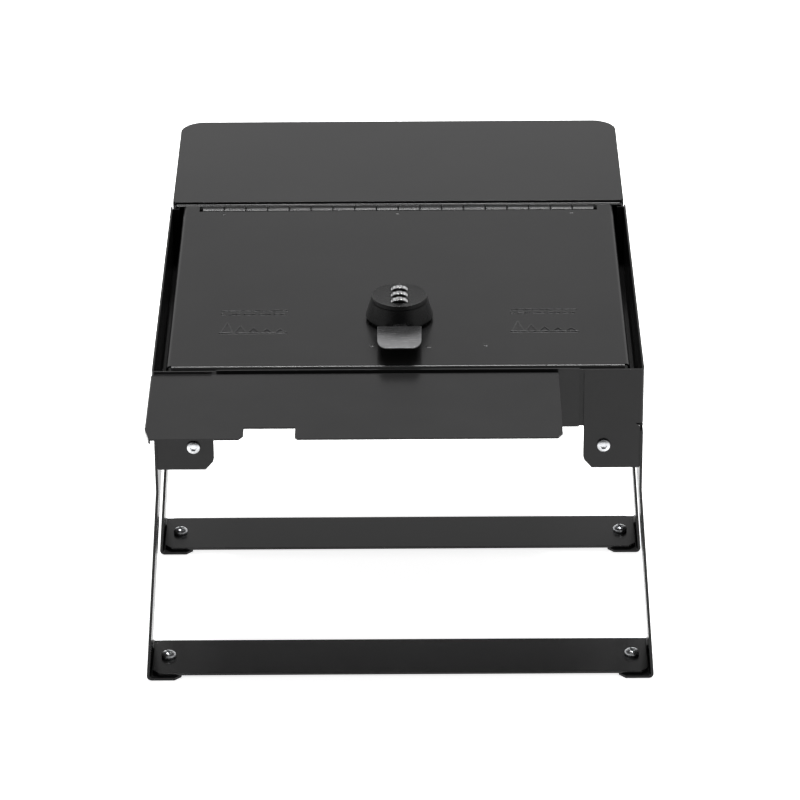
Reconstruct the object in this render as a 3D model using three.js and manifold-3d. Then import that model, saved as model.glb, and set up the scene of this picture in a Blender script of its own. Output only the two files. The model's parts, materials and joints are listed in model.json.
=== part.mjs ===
// Laptop stand: a lockable sheet-steel laptop case on two bolted leg frames, with a front shelf.
// Units are millimetres. +Z is up, +X is the user's right, and the user sits on the -Y side.
// The origin is on the floor, at the middle of the whole stand's footprint.
//
// Inside the group "stand", pieces are drawn in case coordinates: y is the distance behind the
// case's front face, and z is the height above the closed lid's top, so most z are negative.

import * as THREE from 'three';
import { mergeVertices } from 'three/addons/utils/BufferGeometryUtils.js';
import Module from 'manifold-3d';

// Driving dimensions of the case
const LID_HEIGHT = 386.5;          // floor to the top of the closed lid
const CASE_WIDTH = 531.5;
const CASE_DEPTH = 675.5;          // front face to the back of the rear cover
const CASE_HEIGHT = 71.5;
const SHEET = 2;                   // steel sheet of the case
const BEND = 2;                    // inside radius of the sheet's bends
const TIGHT_BEND = 0.5;            // inside radius of sharp bends
const FIT = 0.3;                   // gap between pieces that rest on each other
const EASE = 1;                    // how far cutting tools reach past a surface
const FRONT_WALL_HALF = 196;
const FRONT_WALL_Y = SHEET + FIT;
const FLOOR_FRONT_Y = 7;           // the floor stops short of the hanger plates
const SIDE_PANEL_DEPTH = 431;
const SIDE_FLANGE = 20;            // inward flange that stands on the floor
const SIDE_RETURN = 10;            // inward flange up the panel's rear edge
const WALL_TONGUE = 19;            // ends of the front wall, tucked behind the hanger plates
const COVER_WIDTH = 527.6;
const COVER_FRONT_Y = 438.5;
const COVER_SKIRT = 14;
const COVER_CORNER = 28.5;         // plan radius of the rear corners
const COVER_RELIEF = 2.5;          // cut between the cover's front edge and its skirt

// Lid and its continuous hinge
const LID_HALF = 251;
const LID_FRONT_Y = 8.2;
const LID_REAR_Y = 416.8;          // edge of the notch for the hinge barrel
const LID_EAR_Y = 432;             // rear edge beside the barrel
const BARREL_END_GAP = 4;
const LID_FLANGE = 12;
const LID_RELIEF = 6;
const LID_BEND = 3;
const HINGE_Y = 421;
const HINGE_DROP = 2.8;             // hinge axis below the lid's top
const KNUCKLE_COUNT = 18;
const KNUCKLE_PITCH = 25.4;
const KNUCKLE_GAP = 1.6;
const BARREL_R = 3;
const BARREL_CLEAR_R = 3.45;
const PIN_R = 1.5;
const PIN_BORE_R = 1.65;
const BARREL_SIDES = 16;
const PIN_SIDES = 12;
const LEAF = 1.5;
const LEAF_REACH = 27;
const RAIL_REACH = 32;
const RAIL_DROP = 28;
const RAIL_STEP = 1.2;             // the rail's front steps down this much to the hinge
const RAIL_STEP_Y = [434.5, 436.5];
const RAIL_BEND = 1;

// Front shelf
const SHELF_DEPTH = 152;
const SHELF_LEFT_X = -266.6;
const SHELF_RIGHT_X = 173;
const SHELF_TOP = -2.5;
const SHELF_REAR_Y = -2.5;
const SHELF_FLANGE = 45;
const SHELF_LIP = 5.5;             // down-turned left edge
const SHELF_TAPER = { width: 5.5, depth: 25 };
const SHELF_CHAMFER = { width: 5, depth: 9 };
const SHELF_NOTCH = { left: -162, right: -108, depth: 25.6, chamferWidth: 5, chamferDepth: 8 };
const SHELF_SCREW_X = [-150, -50, 50, 150];
const SHELF_SCREW_Z = -28;

// Legs
const LEG_SHEET = 3;
const LEG_DEPTH = 84;
const LEG_Y = [0, 289.7];          // front edge of the front and rear frames
const LEG_TOP_Z = -74.5;
const LEG_KNEE_Z = -147;           // the legs splay outwards below this
const FOOT_HALF = 284.1;
const FOOT_BEND = 2.5;
const FOOT_TAB_INNER_X = 245;
const FOOT_TAB_CHAMFER = 7.5;
const HANGER_BOTTOM = -119.4;
const HANGER_INNER_X = 201;
const HANGER_OUTER_X = 262.4;
const HANGER_CORNER = [[0, 14.5], [1.3, 9.6], [9.5, 0]];   // inward and up from the square corner
const LEG_FLANGE_INSET = 1;        // the leg's flange stops short of the hanger's inner edge
const HANGER_RELIEF_Z = -65;
const HANGER_RELIEF = 5;
const HANGER_BOLT_X = 223;
const HANGER_BOLT_Z = -91.5;
const REAR_HANGER_FLANGE = 24;
const BAR_THICK = 3;
const BAR_DEPTH = 74;
const BAR_HALF = 278;
const BAR_CHAMFER = 8;
const FOOT_SCREW_X = 261;

// Combination knob and latch
const LOCK_X = 1.6;                // the lock sits a little right of the middle
const LOCK_Y = 130.5;
const TAB_HALF = 24;
const TAB_SHEET = 1.6;
const TAB_CORNER = { across: 10, along: 25 };
const TAB_PATH = [                 // underside from the front edge, behind the lock's middle
  [-109.8, 15.4], [-43.5, 9.4], [-40.5, 0.3], [17, 0.3],
];
const LOCK_BASE_R = 36;
const LOCK_BASE_THICK = 0.9;
const KNOB_R = 37.2;
const KNOB_TOP_R = 30.5;
const KNOB_TOP = 28;
const KNOB_EDGE = 0.7;
const KNOB_SHOULDER = 4.6;         // height of the band between the top and the flared side
const KNOB_SHOULDER_R = 31.6;
const WHEEL_R = 13;
const WHEEL_THICK = 9;
const WHEEL_PITCH = 15.2;
const WHEEL_PROUD = 3.5;
const WHEEL_POCKET_GAP = 0.6;
const AXLE_R = 2;
const AXLE_LENGTH = 50;
const AXLE_GAP = 0.25;
const AXLE_SIDES = 24;
const SPINDLE_R = 9.5;
const SPINDLE_GAP = 0.3;
const SPINDLE_BORE = 10;           // depth of the threaded hole for the cam bolt
const LOCK_NUT = { acrossFlats: 29.4, thickness: 6 };
const CAM_SHEET = 2.5;
const CAM_TOP = -16.5;
const CAM_HUB_R = 12;
const CAM_REACH = 45;
const CAM_BOLT_R = 5.8;
const CAM_BOLT_HEAD = 4;
const CAM_BOLT_GRIP = 9;           // length of thread inside the spindle
const CATCH_HALF = 25;
const CATCH_TOP = -13.5;
const CATCH_REAR_Y = 105;
const CATCH_DROP = 30;

// Hardware, as radius or across-flats and length
const M4 = 2;
const M6 = 3;
const M8 = 4;
const SHELF_NUT = { acrossFlats: 7, thickness: 3.2 };
const LEG_NUT = { acrossFlats: 13, thickness: 6.5 };
const DOME_STEPS = 3;
const RECESS_DEPTH = 0.55;         // share of the head's height
const HEX_RECESS_R = 0.42;         // shares of the head's radius
const CROSS_ARM = 0.42;
const CROSS_SLOT = 0.11;
const HOLE_GAP = 0.3;
const SCREW_SIDES = 16;
const LOCK_SIDES = 40;
const BEND_STEPS = 5;
const CURVE_SEGMENTS = 10;

const HALF = CASE_WIDTH / 2;
const FLOOR_Z = -CASE_HEIGHT;
const GROUND_Z = -LID_HEIGHT;
const STAND_Y = (SHELF_DEPTH - CASE_DEPTH) / 2;
const BASE_BOTTOM = FIT + TAB_SHEET + FIT;
const KNOB_BOTTOM = BASE_BOTTOM + LOCK_BASE_THICK + FIT;
const WHEEL_Z = KNOB_TOP + WHEEL_PROUD - WHEEL_R;
const HINGE_HALF = (KNUCKLE_COUNT * KNUCKLE_PITCH - KNUCKLE_GAP) / 2;

const wasm = await Module();
wasm.setup();

const finishes = {
  powder_coat: { color: 0x2b2b2b, roughness: 0.5, metalness: 0.0 },
  hinge_steel: { color: 0x303030, roughness: 0.45, metalness: 0.2 },
  knob_plastic: { color: 0x1c1c1c, roughness: 0.55, metalness: 0.0 },
  satin_metal: { color: 0x9a9a9d, roughness: 0.35, metalness: 0.9 },
  chrome: { color: 0xd8d8da, roughness: 0.12, metalness: 1.0 },
  zinc: { color: 0xc4c6c8, roughness: 0.28, metalness: 1.0 },
};

// Geometry helpers ---------------------------------------------------------------------------

function toSolid(geometry) {
  const bare = geometry.clone();
  bare.deleteAttribute('normal');
  bare.deleteAttribute('uv');
  const merged = mergeVertices(bare, 1e-4);
  const vertProperties = new Float32Array(merged.attributes.position.array);
  const triVerts = new Uint32Array(merged.index.array);
  return new wasm.Manifold(new wasm.Mesh({ numProp: 3, vertProperties, triVerts }));
}

function toGeometry(solid) {
  const mesh = solid.getMesh();
  const geometry = new THREE.BufferGeometry();
  geometry.setAttribute('position', new THREE.BufferAttribute(mesh.vertProperties, 3));
  geometry.setIndex(new THREE.BufferAttribute(mesh.triVerts, 1));
  geometry.computeVertexNormals();
  return geometry;
}

function join(...solids) {
  return solids.reduce((whole, piece) => whole.add(piece));
}

function cut(solid, ...tools) {
  return tools.reduce((rest, tool) => rest.subtract(tool), solid);
}

// A block between two corners.
function block(x0, x1, y0, y1, z0, z1) {
  const geometry = new THREE.BoxGeometry(x1 - x0, y1 - y0, z1 - z0);
  geometry.translate((x0 + x1) / 2, (y0 + y1) / 2, (z0 + z1) / 2);
  return toSolid(geometry);
}

// A closed outline extruded along one axis. The outline's two numbers are (y, z) for an
// extrusion along x, (x, z) along y and (x, y) along z.
function extrude(outline, axis, from, to) {
  const shape = outline instanceof THREE.Shape ? outline : new THREE.Shape(outline);
  const geometry = new THREE.ExtrudeGeometry(shape, {
    depth: to - from, bevelEnabled: false, curveSegments: CURVE_SEGMENTS,
  });
  if (axis === 'x') {
    geometry.rotateZ(Math.PI / 2);
    geometry.rotateY(Math.PI / 2);
    geometry.translate(from, 0, 0);
  } else if (axis === 'y') {
    geometry.rotateX(Math.PI / 2);
    geometry.translate(0, to, 0);
  } else {
    geometry.translate(0, 0, from);
  }
  return toSolid(geometry);
}

function points(...pairs) {
  return pairs.map(([u, v]) => new THREE.Vector2(u, v));
}

// The outline of a sheet of even thickness that follows a path along one of its faces. The
// sheet lies on the path's left, and every corner of the path becomes a bend.
function sheet(path, thickness, insideRadius = BEND) {
  const near = [path[0].clone()];
  const leftOf = (d) => new THREE.Vector2(-d.y, d.x);
  const first = path[1].clone().sub(path[0]).normalize();
  const far = [path[0].clone().addScaledVector(leftOf(first), thickness)];
  for (let i = 1; i < path.length - 1; i += 1) {
    const inward = path[i].clone().sub(path[i - 1]).normalize();
    const outward = path[i + 1].clone().sub(path[i]).normalize();
    const turn = Math.atan2(inward.cross(outward), inward.dot(outward));
    const side = Math.sign(turn);
    const nearRadius = side > 0 ? insideRadius + thickness : insideRadius;
    const farRadius = side > 0 ? insideRadius : insideRadius + thickness;
    const setback = nearRadius * Math.tan(Math.abs(turn) / 2);
    const centre = path[i].clone().addScaledVector(inward, -setback);
    centre.addScaledVector(leftOf(inward), side * nearRadius);
    for (let step = 0; step <= BEND_STEPS; step += 1) {
      const ray = leftOf(inward).multiplyScalar(-side);
      ray.rotateAround(new THREE.Vector2(), (turn * step) / BEND_STEPS);
      near.push(centre.clone().addScaledVector(ray, nearRadius));
      far.push(centre.clone().addScaledVector(ray, farRadius));
    }
  }
  const end = path[path.length - 1];
  const last = end.clone().sub(path[path.length - 2]).normalize();
  near.push(end.clone());
  far.push(end.clone().addScaledVector(leftOf(last), thickness));
  return near.concat(far.reverse());
}

// A cylinder along an axis, through the point (x, y, z) at its middle.
function cylinder(radius, length, axis, x, y, z, sides = 32) {
  const geometry = new THREE.CylinderGeometry(radius, radius, length, sides);
  if (axis === 'x') {
    geometry.rotateZ(Math.PI / 2);
  } else if (axis === 'z') {
    geometry.rotateX(Math.PI / 2);
  }
  geometry.translate(x, y, z);
  return toSolid(geometry);
}

// A turned body about a vertical axis through (x, y). The profile holds (radius, z) pairs.
function turned(profile, x, y, sides = 48) {
  const geometry = new THREE.LatheGeometry(points(...profile), sides);
  geometry.rotateX(Math.PI / 2);
  geometry.translate(x, y, 0);
  return toSolid(geometry);
}

function mirrorX(solid) {
  return solid.mirror([1, 0, 0]);
}

// Case ---------------------------------------------------------------------------------------

// Plan outline with rounded rear corners, set in from the rear cover's own outline.
function rearOutline(frontY, inset) {
  const half = COVER_WIDTH / 2 - inset;
  const rear = CASE_DEPTH - inset;
  const radius = COVER_CORNER - inset;
  const shape = new THREE.Shape();
  shape.moveTo(-half, frontY);
  shape.lineTo(half, frontY);
  shape.lineTo(half, rear - radius);
  shape.absarc(half - radius, rear - radius, radius, 0, Math.PI / 2, false);
  shape.lineTo(-half + radius, rear);
  shape.absarc(-half + radius, rear - radius, radius, Math.PI / 2, Math.PI, false);
  return shape;
}

function basePan() {
  const shellInset = SHEET + FIT;
  const top = FLOOR_Z + SHEET;
  const front = block(-HALF, HALF, FLOOR_FRONT_Y, SIDE_PANEL_DEPTH, FLOOR_Z, top);
  const rear = extrude(rearOutline(SIDE_PANEL_DEPTH - SHEET, shellInset), 'z', FLOOR_Z, top);
  const wallPath = points(
    [FRONT_WALL_Y, 0],
    [FRONT_WALL_Y, FLOOR_Z],
    [FRONT_WALL_Y + SIDE_FLANGE, FLOOR_Z],
  );
  const wallOutline = sheet(wallPath, SHEET, TIGHT_BEND);
  const wall = extrude(wallOutline, 'x', -FRONT_WALL_HALF, FRONT_WALL_HALF);
  const tongueY = FRONT_WALL_Y + SHEET - FIT;
  const tongue = block(
    FRONT_WALL_HALF - SHEET, FRONT_WALL_HALF + WALL_TONGUE, tongueY, tongueY + SHEET, top, -SHEET,
  );
  const holes = SHELF_SCREW_X.map((x) => (
    cylinder(M4 + HOLE_GAP, CASE_HEIGHT / 3, 'y', x, FRONT_WALL_Y, SHELF_SCREW_Z, SCREW_SIDES)
  ));
  return cut(join(front, rear, wall, tongue, mirrorX(tongue)), ...holes);
}

// The clipped lower inner corner that the hangers and the legs' flanges share.
function hangerCorner(innerX) {
  return HANGER_CORNER.map(([across, up]) => [innerX + across, HANGER_BOTTOM + up]);
}

// The right side panel: wall, foot flange on the floor, and the plate the front leg hangs on.
function sidePanel() {
  const foot = FLOOR_Z + SHEET + FIT;
  const footPath = points([HALF - SIDE_FLANGE, foot], [HALF, foot], [HALF, 0]);
  const wall = extrude(sheet(footPath, SHEET), 'y', FLOOR_FRONT_Y + SHEET, SIDE_PANEL_DEPTH);
  const cornerPath = points([HANGER_INNER_X, 0], [HALF, 0], [HALF, SIDE_FLANGE]);
  const corner = extrude(sheet(cornerPath, SHEET), 'z', HANGER_RELIEF_Z, 0);
  const platePoints = points(
    [HANGER_INNER_X, HANGER_RELIEF_Z + SHEET],
    ...hangerCorner(HANGER_INNER_X),
    [HANGER_OUTER_X, HANGER_BOTTOM],
    [HANGER_OUTER_X, HANGER_RELIEF_Z - HANGER_RELIEF],
    [HANGER_OUTER_X - HANGER_RELIEF, HANGER_RELIEF_Z],
    [HANGER_OUTER_X - HANGER_RELIEF, HANGER_RELIEF_Z + SHEET],
  );
  const plate = extrude(platePoints, 'y', 0, SHEET);
  const returnPath = points(
    [HALF, SIDE_PANEL_DEPTH - SIDE_FLANGE],
    [HALF, SIDE_PANEL_DEPTH],
    [HALF - SIDE_RETURN, SIDE_PANEL_DEPTH],
  );
  const rearReturn = extrude(sheet(returnPath, SHEET), 'z', foot, -SHEET - FIT);
  const hole = cylinder(M8 + HOLE_GAP, SIDE_FLANGE, 'y', HANGER_BOLT_X, 0, HANGER_BOLT_Z, SCREW_SIDES);
  return cut(join(wall, corner, plate, rearReturn), hole);
}

function rearShell() {
  const frontY = SIDE_PANEL_DEPTH + FIT;
  const outer = rearOutline(frontY, SHEET + FIT);
  const inner = rearOutline(frontY - SHEET, 2 * SHEET + FIT);
  const bottom = FLOOR_Z + SHEET + FIT;
  const tube = extrude(outer, 'z', bottom, -FIT);
  return cut(tube, extrude(inner, 'z', bottom - SHEET, SHEET));
}

function rearCover() {
  const top = SHEET + FIT;
  const skirtFrontY = COVER_FRONT_Y + COVER_RELIEF;
  const half = COVER_WIDTH / 2;
  const shell = extrude(rearOutline(COVER_FRONT_Y, 0), 'z', top - COVER_SKIRT, top);
  const hollow = extrude(rearOutline(COVER_FRONT_Y - SHEET, SHEET), 'z', -CASE_HEIGHT, FIT);
  const reliefs = [-1, 1].map((side) => {
    const edge = side * half;
    const inner = side * (half - COVER_RELIEF);
    const low = Math.min(edge, inner) - (side < 0 ? SHEET : 0);
    const high = Math.max(edge, inner) + (side > 0 ? SHEET : 0);
    return block(low, high, COVER_FRONT_Y - SHEET, skirtFrontY, -CASE_HEIGHT, CASE_HEIGHT);
  });
  return cut(shell, hollow, ...reliefs);
}

// Cross rail between the side walls: it carries the hinge and the front edge of the rear cover.
function hingeRail() {
  const face = HINGE_Y + BARREL_R + FIT;
  const half = COVER_WIDTH / 2 - 2 * SHEET - 2 * FIT;
  const [stepFront, stepRear] = RAIL_STEP_Y;
  const path = points(
    [face + RAIL_REACH, 0],
    [stepRear, 0],
    [stepFront, -RAIL_STEP],
    [face, -RAIL_STEP],
    [face, -RAIL_DROP],
  );
  const rail = extrude(sheet(path, SHEET, RAIL_BEND), 'x', -half, half);
  const ends = [-1, 1].map((side) => {
    const inner = side * (HINGE_HALF + BARREL_END_GAP);
    const outer = side * CASE_WIDTH;
    return block(
      Math.min(inner, outer), Math.max(inner, outer),
      HINGE_Y, LID_EAR_Y + SHEET, -CASE_HEIGHT, CASE_HEIGHT,
    );
  });
  return cut(rail, ...ends);
}

// Lid and hinge ------------------------------------------------------------------------------

function lid() {
  const long = points([LID_REAR_Y, 0], [LID_FRONT_Y, 0], [LID_FRONT_Y, -LID_FLANGE]);
  const wide = points(
    [LID_HALF, -LID_FLANGE],
    [LID_HALF, 0],
    [-LID_HALF, 0],
    [-LID_HALF, -LID_FLANGE],
  );
  const inner = LID_HALF - LID_RELIEF;
  const front = extrude(sheet(long, SHEET, LID_BEND), 'x', -inner, inner);
  const top = extrude(sheet(wide, SHEET, LID_BEND), 'y', LID_FRONT_Y + LID_RELIEF, LID_EAR_Y);
  const notchHalf = HINGE_HALF + BARREL_END_GAP;
  const notch = block(-notchHalf, notchHalf, LID_REAR_Y, CASE_DEPTH, -CASE_HEIGHT, CASE_HEIGHT);
  const flangeEnds = block(-HALF, HALF, LID_REAR_Y, CASE_DEPTH, -CASE_HEIGHT, -SHEET);
  const hole = cylinder(SPINDLE_R + SPINDLE_GAP, LID_FLANGE, 'z', LOCK_X, LOCK_Y, 0, LOCK_SIDES);
  return cut(join(front, top), hole, notch, flangeEnds);
}

// One leaf of the hinge. Knuckles alternate along the barrel, and each leaf owns every second
// one; the plate is cut clear of the knuckles that belong to the other leaf.
function hingeLeaf(plate, phase) {
  const start = -(KNUCKLE_COUNT * KNUCKLE_PITCH) / 2;
  const own = [];
  const other = [];
  for (let i = 0; i < KNUCKLE_COUNT; i += 1) {
    const middle = start + (i + 0.5) * KNUCKLE_PITCH;
    if (i % 2 === phase) {
      const length = KNUCKLE_PITCH - KNUCKLE_GAP;
      own.push(cylinder(BARREL_R, length, 'x', middle, HINGE_Y, -HINGE_DROP, BARREL_SIDES));
    } else {
      const length = KNUCKLE_PITCH + KNUCKLE_GAP;
      const room = cylinder(BARREL_CLEAR_R, length, 'x', middle, HINGE_Y, -HINGE_DROP, BARREL_SIDES);
      other.push(room);
    }
  }
  const bore = cylinder(PIN_BORE_R, CASE_WIDTH, 'x', 0, HINGE_Y, -HINGE_DROP, PIN_SIDES);
  return cut(join(cut(plate, ...other), ...own), bore);
}

function hingeLeafFixed() {
  const y = HINGE_Y + BARREL_R;
  const z = -HINGE_DROP;
  return hingeLeaf(block(-HINGE_HALF, HINGE_HALF, y - LEAF, y, z - LEAF_REACH, z), 0);
}

function hingeLeafLid() {
  const top = -SHEET - FIT;
  return hingeLeaf(block(-HINGE_HALF, HINGE_HALF, HINGE_Y - LEAF_REACH, HINGE_Y, top - LEAF, top), 1);
}

function hingePin() {
  return cylinder(PIN_R, 2 * HINGE_HALF, 'x', 0, HINGE_Y, -HINGE_DROP, PIN_SIDES);
}

// Front shelf --------------------------------------------------------------------------------

function frontShelf() {
  const left = SHELF_LEFT_X;
  const front = -SHELF_DEPTH;
  const bottom = SHELF_TOP - SHEET;
  const notch = SHELF_NOTCH;
  const taperY = front + SHELF_TAPER.depth;
  const outline = points(
    [left, SHELF_REAR_Y],
    [left, taperY],
    [left + SHELF_TAPER.width, front],
    [notch.left - notch.chamferWidth, front],
    [notch.left, front + notch.chamferDepth],
    [notch.left, front + notch.depth],
    [notch.right, front + notch.depth],
    [notch.right, front + notch.chamferDepth / 2],
    [notch.right + notch.chamferWidth / 2, front],
    [SHELF_RIGHT_X - SHELF_CHAMFER.width, front],
    [SHELF_RIGHT_X, front + SHELF_CHAMFER.depth],
    [SHELF_RIGHT_X, SHELF_REAR_Y],
  );
  const plate = extrude(outline, 'z', bottom, SHELF_TOP);
  const bentPath = points(
    [SHEET, SHELF_TOP - SHELF_FLANGE],
    [SHEET, SHELF_TOP],
    [-2 * SHELF_FLANGE, SHELF_TOP],
  );
  const bend = extrude(sheet(bentPath, SHEET), 'x', -FRONT_WALL_HALF, SHELF_RIGHT_X);
  const lipPath = points(
    [left + SHELF_FLANGE, SHELF_TOP],
    [left, SHELF_TOP],
    [left, SHELF_TOP - SHELF_LIP],
  );
  const lip = extrude(sheet(lipPath, SHEET, TIGHT_BEND), 'y', taperY, SHELF_REAR_Y);
  const square = block(left - SHEET, left + SHEET, taperY, 0, bottom - FIT, SHELF_TOP + FIT);
  const taperLip = extrude(points(
    [left, taperY],
    [left + SHELF_TAPER.width, front],
    [left + SHELF_TAPER.width + SHEET, front],
    [left + SHEET, taperY],
  ), 'z', SHELF_TOP - SHELF_LIP, SHELF_TOP);
  const holes = SHELF_SCREW_X.map((x) => (
    cylinder(M4 + HOLE_GAP, SHELF_FLANGE / 3, 'y', x, 0, SHELF_SCREW_Z, SCREW_SIDES)
  ));
  return cut(join(cut(plate, square), lip, taperLip, bend), ...holes);
}

// Leg frames ---------------------------------------------------------------------------------

// The right leg of a frame whose front edge is at y: strap, foot tab and bolting flange.
function leg(y) {
  const path = points(
    [FOOT_TAB_INNER_X, GROUND_Z],
    [FOOT_HALF, GROUND_Z],
    [HALF, LEG_KNEE_Z],
    [HALF, LEG_TOP_Z],
  );
  const strap = extrude(sheet(path, LEG_SHEET, FOOT_BEND), 'y', y, y + LEG_DEPTH);
  const flangeY = y + SHEET + FIT;
  const flangeInnerX = HANGER_INNER_X + LEG_FLANGE_INSET;
  const flangePoints = points(
    [flangeInnerX, LEG_TOP_Z],
    ...hangerCorner(flangeInnerX),
    [HALF - LEG_SHEET / 2, HANGER_BOTTOM],
    [HALF - LEG_SHEET / 2, LEG_TOP_Z],
  );
  const flange = extrude(flangePoints, 'y', flangeY, flangeY + LEG_SHEET);
  const inner = FOOT_TAB_INNER_X;
  const chamfer = FOOT_TAB_CHAMFER;
  const corners = [[y, 1], [y + LEG_DEPTH, -1]].map(([edge, way]) => extrude(points(
    [inner - EASE, edge - way * EASE],
    [inner + chamfer, edge - way * EASE],
    [inner + chamfer, edge],
    [inner, edge + way * chamfer],
    [inner - EASE, edge + way * chamfer],
  ), 'z', GROUND_Z - SHEET, GROUND_Z + 2 * SHEET));
  const boltHole = cylinder(
    M8 + HOLE_GAP, SIDE_FLANGE, 'y', HANGER_BOLT_X, flangeY, HANGER_BOLT_Z, SCREW_SIDES,
  );
  const screwHole = cylinder(
    M6 + HOLE_GAP, SIDE_FLANGE, 'z', FOOT_SCREW_X, y + LEG_DEPTH / 2, GROUND_Z, SCREW_SIDES,
  );
  return cut(join(strap, flange), ...corners, boltHole, screwHole);
}

function footBar(y) {
  const front = y + (LEG_DEPTH - BAR_DEPTH) / 2;
  const rear = front + BAR_DEPTH;
  const outline = points(
    [-BAR_HALF + BAR_CHAMFER, front],
    [BAR_HALF - BAR_CHAMFER, front],
    [BAR_HALF, front + BAR_CHAMFER],
    [BAR_HALF, rear - BAR_CHAMFER],
    [BAR_HALF - BAR_CHAMFER, rear],
    [-BAR_HALF + BAR_CHAMFER, rear],
    [-BAR_HALF, rear - BAR_CHAMFER],
    [-BAR_HALF, front + BAR_CHAMFER],
  );
  const bottom = GROUND_Z + LEG_SHEET + FIT;
  const bar = extrude(outline, 'z', bottom, bottom + BAR_THICK);
  const holes = [-FOOT_SCREW_X, FOOT_SCREW_X].map((x) => (
    cylinder(M6 + HOLE_GAP, SIDE_FLANGE, 'z', x, (front + rear) / 2, bottom, SCREW_SIDES)
  ));
  return cut(bar, ...holes);
}

// Angle under the floor that the rear leg bolts to.
function rearHanger() {
  const y = LEG_Y[1];
  const top = FLOOR_Z - FIT;
  const path = points([y, HANGER_BOTTOM], [y, top], [y + REAR_HANGER_FLANGE, top]);
  const outline = sheet(path.reverse(), SHEET, TIGHT_BEND);
  const angle = extrude(outline, 'x', HANGER_INNER_X, HANGER_OUTER_X);
  const clipped = hangerCorner(HANGER_INNER_X);
  const [cornerTop] = clipped;
  const [cornerEnd] = clipped.slice(-1);
  const corner = extrude(points(
    [HANGER_INNER_X - EASE, HANGER_BOTTOM - EASE],
    [cornerEnd[0], HANGER_BOTTOM - EASE],
    ...clipped.slice().reverse(),
    [HANGER_INNER_X - EASE, cornerTop[1]],
  ), 'y', y - EASE, y + SIDE_FLANGE);
  const hole = cylinder(
    M8 + HOLE_GAP, SIDE_FLANGE, 'y', HANGER_BOLT_X, y, HANGER_BOLT_Z, SCREW_SIDES,
  );
  return cut(angle, corner, hole);
}

// Fasteners ----------------------------------------------------------------------------------

// A screw standing on z = 0, its shank pointing down, with a hexagon or cross recess. The head
// has a straight rim, a share of its height, under a dome.
function domedScrew({ headR, headHeight, rimShare, shankR, shankLength, recess }) {
  const dome = [];
  for (let i = 0; i <= DOME_STEPS; i += 1) {
    const angle = (Math.PI / 2) * (i / DOME_STEPS);
    const rise = rimShare + (1 - rimShare) * Math.sin(angle);
    dome.push([headR * Math.cos(angle), headHeight * rise]);
  }
  dome[DOME_STEPS][0] = 0;
  const profile = [[0, -shankLength], [shankR, -shankLength], [shankR, 0], [headR, 0], ...dome];
  const body = turned(profile, 0, 0, SCREW_SIDES);
  const depth = headHeight * RECESS_DEPTH;
  if (recess === 'hexagon') {
    return cut(body, cylinder(headR * HEX_RECESS_R, 2 * depth, 'z', 0, 0, headHeight, 6));
  }
  const arm = headR * CROSS_ARM;
  const slot = headR * CROSS_SLOT;
  const low = headHeight - depth;
  const high = headHeight + depth;
  const across = block(-arm, arm, -slot, slot, low, high);
  const along = block(-slot, slot, -arm, arm, low, high);
  return cut(body, across, along);
}

function hexNut({ acrossFlats, thickness }, boreR) {
  const cornerR = acrossFlats / Math.sqrt(3);
  const body = cylinder(cornerR, thickness, 'z', 0, 0, thickness / 2, 6);
  return cut(body, cylinder(boreR, 3 * thickness, 'z', 0, 0, thickness / 2, SCREW_SIDES));
}

const legBolt = {
  headR: 7.1, headHeight: 4.4, rimShare: 0.3, shankR: M8, shankLength: 15, recess: 'hexagon',
};
const footScrew = {
  headR: 7.7, headHeight: 5.4, rimShare: 0.45, shankR: M6, shankLength: 5.4, recess: 'cross',
};
const shelfScrew = {
  headR: 4, headHeight: 2.4, rimShare: 0.3, shankR: M4, shankLength: 10, recess: 'cross',
};

// Lock ---------------------------------------------------------------------------------------

// Finger pull: clamped flat under the lock, it steps up in front and rises over the lid's edge.
function fingerTab() {
  const path = points(...TAB_PATH.map(([y, z]) => [LOCK_Y + y, z]));
  const bent = extrude(sheet(path, TAB_SHEET), 'x', -TAB_HALF, TAB_HALF);
  const front = path[0].x;
  const corners = [-1, 1].map((side) => {
    const centreX = side * (TAB_HALF - TAB_CORNER.across);
    const centreY = front + TAB_CORNER.along;
    const outerX = side * (TAB_HALF + SHEET);
    const square = block(
      Math.min(centreX, outerX), Math.max(centreX, outerX),
      front - SHEET, centreY, -SHEET, KNOB_TOP,
    );
    const round = cylinder(1, 3 * KNOB_TOP, 'z', 0, 0, 0, LOCK_SIDES);
    const oval = round.scale([TAB_CORNER.across, TAB_CORNER.along, 1]);
    return square.subtract(oval.translate([centreX, centreY, 0]));
  });
  const hole = cylinder(SPINDLE_R + SPINDLE_GAP, LID_FLANGE, 'z', 0, LOCK_Y, 0, LOCK_SIDES);
  return cut(bent, ...corners, hole);
}

function lockBase() {
  const body = cylinder(
    LOCK_BASE_R, LOCK_BASE_THICK, 'z', 0, LOCK_Y, BASE_BOTTOM + LOCK_BASE_THICK / 2, LOCK_SIDES,
  );
  return cut(body, cylinder(SPINDLE_R + SPINDLE_GAP, LID_FLANGE, 'z', 0, LOCK_Y, 0, LOCK_SIDES));
}

const wheelYs = [-1, 0, 1].map((place) => LOCK_Y + place * WHEEL_PITCH);

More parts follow.
